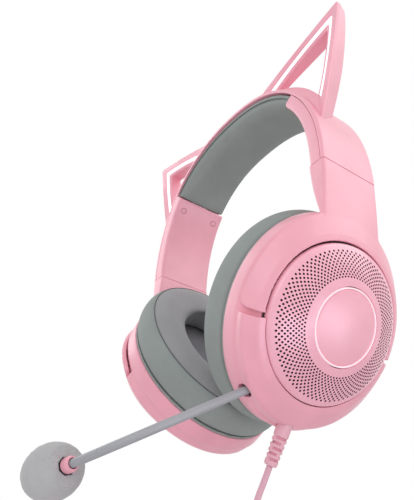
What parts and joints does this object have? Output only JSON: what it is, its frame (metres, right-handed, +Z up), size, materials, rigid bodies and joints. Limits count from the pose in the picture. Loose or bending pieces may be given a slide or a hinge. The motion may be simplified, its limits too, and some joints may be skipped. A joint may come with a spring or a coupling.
{
  "type": "gaming headset",
  "caption": "Over-ear headset with triangular lit ears on its band, padded tilting cups, a boom microphone, a volume wheel and a wound lead with a flat plug.",
  "frame": {"origin": "on the underside of the headband pad, below the crown, where the head carries the headset", "axes": "+Z up, -Y the way the wearer looks, +X to the wearer's left, the side with the microphone"},
  "size_m": [0.1832, 0.1399, 0.3515],
  "materials": {
    "pink": "satin moulded plastic",
    "pink_light": "satin moulded plastic",
    "leatherette": "soft leatherette over foam",
    "cushion": "leatherette side and fabric face over foam",
    "fabric": "thin woven cloth",
    "foam": "open-cell foam",
    "boom": "matte sleeve",
    "rubber": "matte soft plastic",
    "light": "lit diffuser",
    "steel": "plain steel",
    "black": "matte",
    "board": "printed circuit board"
  },
  "bodies": {
    "headband": {"headband_shell": "pink", "headband_pad": "leatherette", "spring_band": "steel", "harness_wire": "black", "end_cap_left": "pink", "end_cap_right": "pink", "end_cap_screw_left_front": "pink_light", "end_cap_screw_left_rear": "pink_light", "end_cap_screw_right_front": "pink_light", "end_cap_screw_right_rear": "pink_light", "ear_shell_left": "pink_light", "ear_shell_right": "pink_light", "ear_bezel_left": "pink", "ear_bezel_right": "pink", "ear_light_left": "light", "ear_light_right": "light"},
    "slider_left": {"yoke_left": "pink", "slider_strip_left": "steel", "pivot_pin_left_front": "steel", "pivot_pin_left_rear": "steel"},
    "slider_right": {"yoke_right": "pink", "slider_strip_right": "steel", "pivot_pin_right_front": "steel", "pivot_pin_right_rear": "steel"},
    "cup_left": {"cup_shell_left": "pink", "grille_left": "pink_light", "light_ring_left": "light", "led_board_left": "board", "emblem_cap_left": "pink_light", "baffle_left": "black", "driver_frame_left": "black", "driver_diaphragm_left": "boom", "driver_cloth_left": "fabric", "cushion_left": "cushion", "mic_port": "rubber", "strain_relief": "rubber", "circuit_board": "board", "cable": "rubber", "cable_coil": "rubber", "cable_tail": "rubber", "cable_tie": "black", "usb_plug_cover": "rubber", "usb_plug_shell": "steel", "usb_plug_tongue": "black"},
    "cup_right": {"cup_shell_right": "pink", "grille_right": "pink_light", "light_ring_right": "light", "led_board_right": "board", "emblem_cap_right": "pink_light", "baffle_right": "black", "driver_frame_right": "black", "driver_diaphragm_right": "boom", "driver_cloth_right": "fabric", "cushion_right": "cushion"},
    "microphone": {"mic_boom": "boom", "mic_collar": "pink", "mic_capsule": "black", "mic_foam": "foam"},
    "volume_wheel": {"volume_wheel": "rubber"}
  },
  "joints": [
    {"name": "left_slide", "type": "slide", "parent": "headband", "child": "slider_left", "axis": [0.165, 0, -0.9863], "range_m": [0, 0.025]},
    {"name": "right_slide", "type": "slide", "parent": "headband", "child": "slider_right", "axis": [-0.165, 0, -0.9863], "range_m": [0, 0.025]},
    {"name": "left_cup_tilt", "type": "hinge", "parent": "slider_left", "child": "cup_left", "pos_m": [0.05117, 0, -0.14569], "axis": [0, -1, 0], "range_deg": [0, 10]},
    {"name": "right_cup_tilt", "type": "hinge", "parent": "slider_right", "child": "cup_right", "pos_m": [-0.05117, 0, -0.14569], "axis": [0, 1, 0], "range_deg": [0, 10]},
    {"name": "mic_slide", "type": "slide", "parent": "cup_left", "child": "microphone", "axis": [0.2711, 0.829, 0.4891], "range_m": [0, 0.034]},
    {"name": "volume_turn", "type": "hinge", "parent": "cup_left", "child": "volume_wheel", "pos_m": [0.02304, 0.01779, -0.16879], "axis": [0.8746, 0, -0.4848], "range_deg": [-140, 140]}
  ]
}
